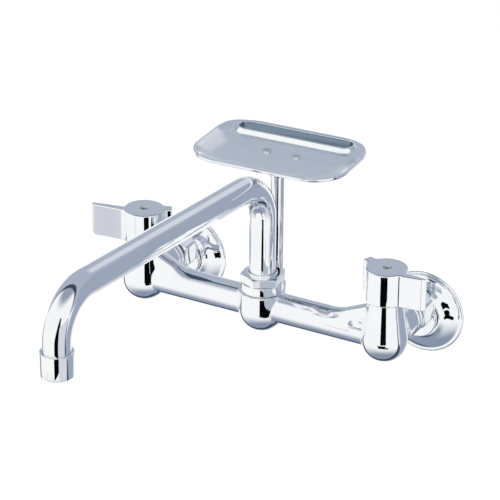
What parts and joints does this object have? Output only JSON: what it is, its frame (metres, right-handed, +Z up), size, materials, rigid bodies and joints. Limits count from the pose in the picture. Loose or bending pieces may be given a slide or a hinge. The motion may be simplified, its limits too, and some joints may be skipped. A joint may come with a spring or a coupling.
{
  "type": "wall-mounted kitchen faucet",
  "caption": "Wall-mounted two-handle kitchen faucet: bridge body on offset wall couplings, long swing spout with aerator, lever handles and a soap dish on a post behind the spout.",
  "frame": {"origin": "on the wall plane, midway between the two supply inlets and level with them", "axes": "+X along the body, from the left handle to the right one as seen from the front; +Y into the wall; +Z up"},
  "size_m": [0.2768, 0.3302, 0.162],
  "materials": {
    "chrome": "bright chrome plate on cast and drawn brass",
    "brass": "turned brass, unplated",
    "rubber": "matte black rubber",
    "ceramic": "lapped ceramic, taken as a glossy off-white",
    "nylon": "natural nylon, satin",
    "steel": "plain stainless steel"
  },
  "bodies": {
    "root": {"valve_body": "chrome", "spout_nut": "chrome", "dish_bracket": "chrome", "dish_post": "chrome", "dish_mount": "chrome", "soap_dish": "chrome", "dish_screws": "steel", "left_flange": "chrome", "left_coupling": "chrome", "left_union_nut": "chrome", "left_union_washer": "rubber", "left_cartridge": "brass", "left_gasket": "rubber", "left_seat_seal": "rubber", "left_fixed_disc": "ceramic", "left_gland_nut": "brass", "right_flange": "chrome", "right_coupling": "chrome", "right_union_nut": "chrome", "right_union_washer": "rubber", "right_cartridge": "brass", "right_gasket": "rubber", "right_seat_seal": "rubber", "right_fixed_disc": "ceramic", "right_gland_nut": "brass"},
    "spout": {"spout_tube": "chrome", "spout_shank": "brass", "spout_rings": "rubber", "friction_washer": "nylon", "spout_tip": "brass", "aerator_housing": "chrome", "aerator_washer": "rubber", "aerator_insert": "nylon", "aerator_screen": "steel"},
    "left_handle": {"left_turning_disc": "ceramic", "left_stem": "brass", "left_stem_rings": "rubber", "left_clip": "steel", "left_handle": "chrome", "left_handle_screw": "steel"},
    "right_handle": {"right_turning_disc": "ceramic", "right_stem": "brass", "right_stem_rings": "rubber", "right_clip": "steel", "right_handle": "chrome", "right_handle_screw": "steel"}
  },
  "joints": [
    {"name": "spout_swing", "type": "hinge", "parent": "root", "child": "spout", "pos_m": [0, -0.0685, 0.03], "axis": [0, 0, 1], "range_deg": [-41, 49]},
    {"name": "left_handle_turn", "type": "hinge", "parent": "root", "child": "left_handle", "pos_m": [-0.1016, -0.0685, 0.04], "axis": [0, 0, 1], "range_deg": [0, 90]},
    {"name": "right_handle_turn", "type": "hinge", "parent": "root", "child": "right_handle", "pos_m": [0.1016, -0.0685, 0.04], "axis": [0, 0, 1], "range_deg": [-90, 0]}
  ]
}
